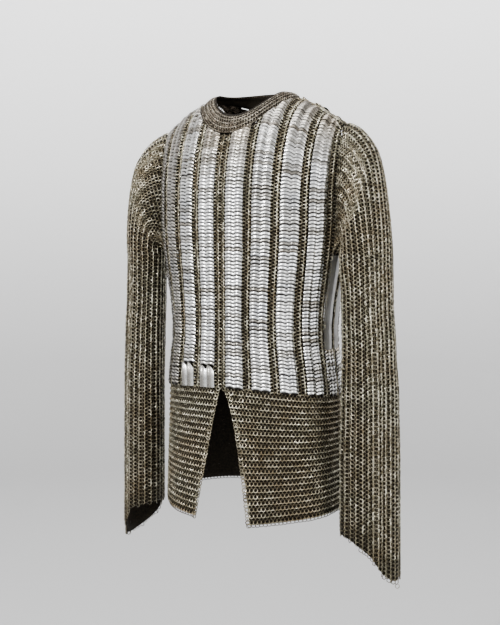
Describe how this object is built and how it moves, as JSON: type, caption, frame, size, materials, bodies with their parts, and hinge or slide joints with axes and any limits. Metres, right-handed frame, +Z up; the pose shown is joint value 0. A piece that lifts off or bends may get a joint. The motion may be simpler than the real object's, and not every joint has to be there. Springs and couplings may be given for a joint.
{
  "type": "mail and plate shirt in its worn pose",
  "caption": "Long-sleeved shirt of linked iron rings with upright columns of small overlapping lobed steel plates, a ring collar, pointed cuffs and a slit skirt, hollow as worn.",
  "frame": {"origin": "between the shoulders, at the height of the shoulder ridge beside the neck, where the wearer's shoulders hold the shirt", "axes": "+Z up, the front faces -Y, +X is the wearer's left"},
  "size_m": [0.5392, 0.2432, 0.812],
  "materials": {
    "plate": "bright hammered steel plates, worn and lightly scratched",
    "mail": "dull brown-grey iron rings with bright rubbed tops",
    "collar_mail": "dense dull iron rings, a little redder than the body"
  },
  "bodies": {
    "root": {"collar_front": "collar_mail", "collar_back": "collar_mail", "yoke_left": "mail", "yoke_right": "mail", "column_front_left_1": "plate", "column_front_right_1": "plate", "column_front_left_2": "plate", "column_front_right_2": "plate", "column_front_left_3": "plate", "column_front_right_3": "plate", "column_front_left_4": "plate", "column_front_right_4": "plate", "column_side_left_front": "plate", "side_plate_left_front": "plate", "column_side_right_front": "plate", "side_plate_right_front": "plate", "column_side_left_back": "plate", "side_plate_left_back": "plate", "column_side_right_back": "plate", "side_plate_right_back": "plate", "column_back_left_4": "plate", "column_back_right_4": "plate", "column_back_left_3": "plate", "column_back_right_3": "plate", "column_back_left_2": "plate", "column_back_right_2": "plate", "column_back_left_1": "plate", "column_back_right_1": "plate", "strip_centre_front": "mail", "strip_left_1": "mail", "strip_right_1": "mail", "strip_left_2": "mail", "strip_right_2": "mail", "strip_left_3": "mail", "strip_right_3": "mail", "strip_left_4": "mail", "strip_right_4": "mail", "strip_left_5": "mail", "strip_right_5": "mail", "strip_left_6": "mail", "strip_right_6": "mail", "strip_left_7": "mail", "strip_right_7": "mail", "strip_left_8": "mail", "strip_right_8": "mail", "strip_left_9": "mail", "strip_right_9": "mail", "strip_centre_back": "mail", "sleeve_left": "mail", "sleeve_right": "mail", "skirt_front_left": "mail", "skirt_front_right": "mail", "skirt_back": "mail"}
  },
  "joints": []
}
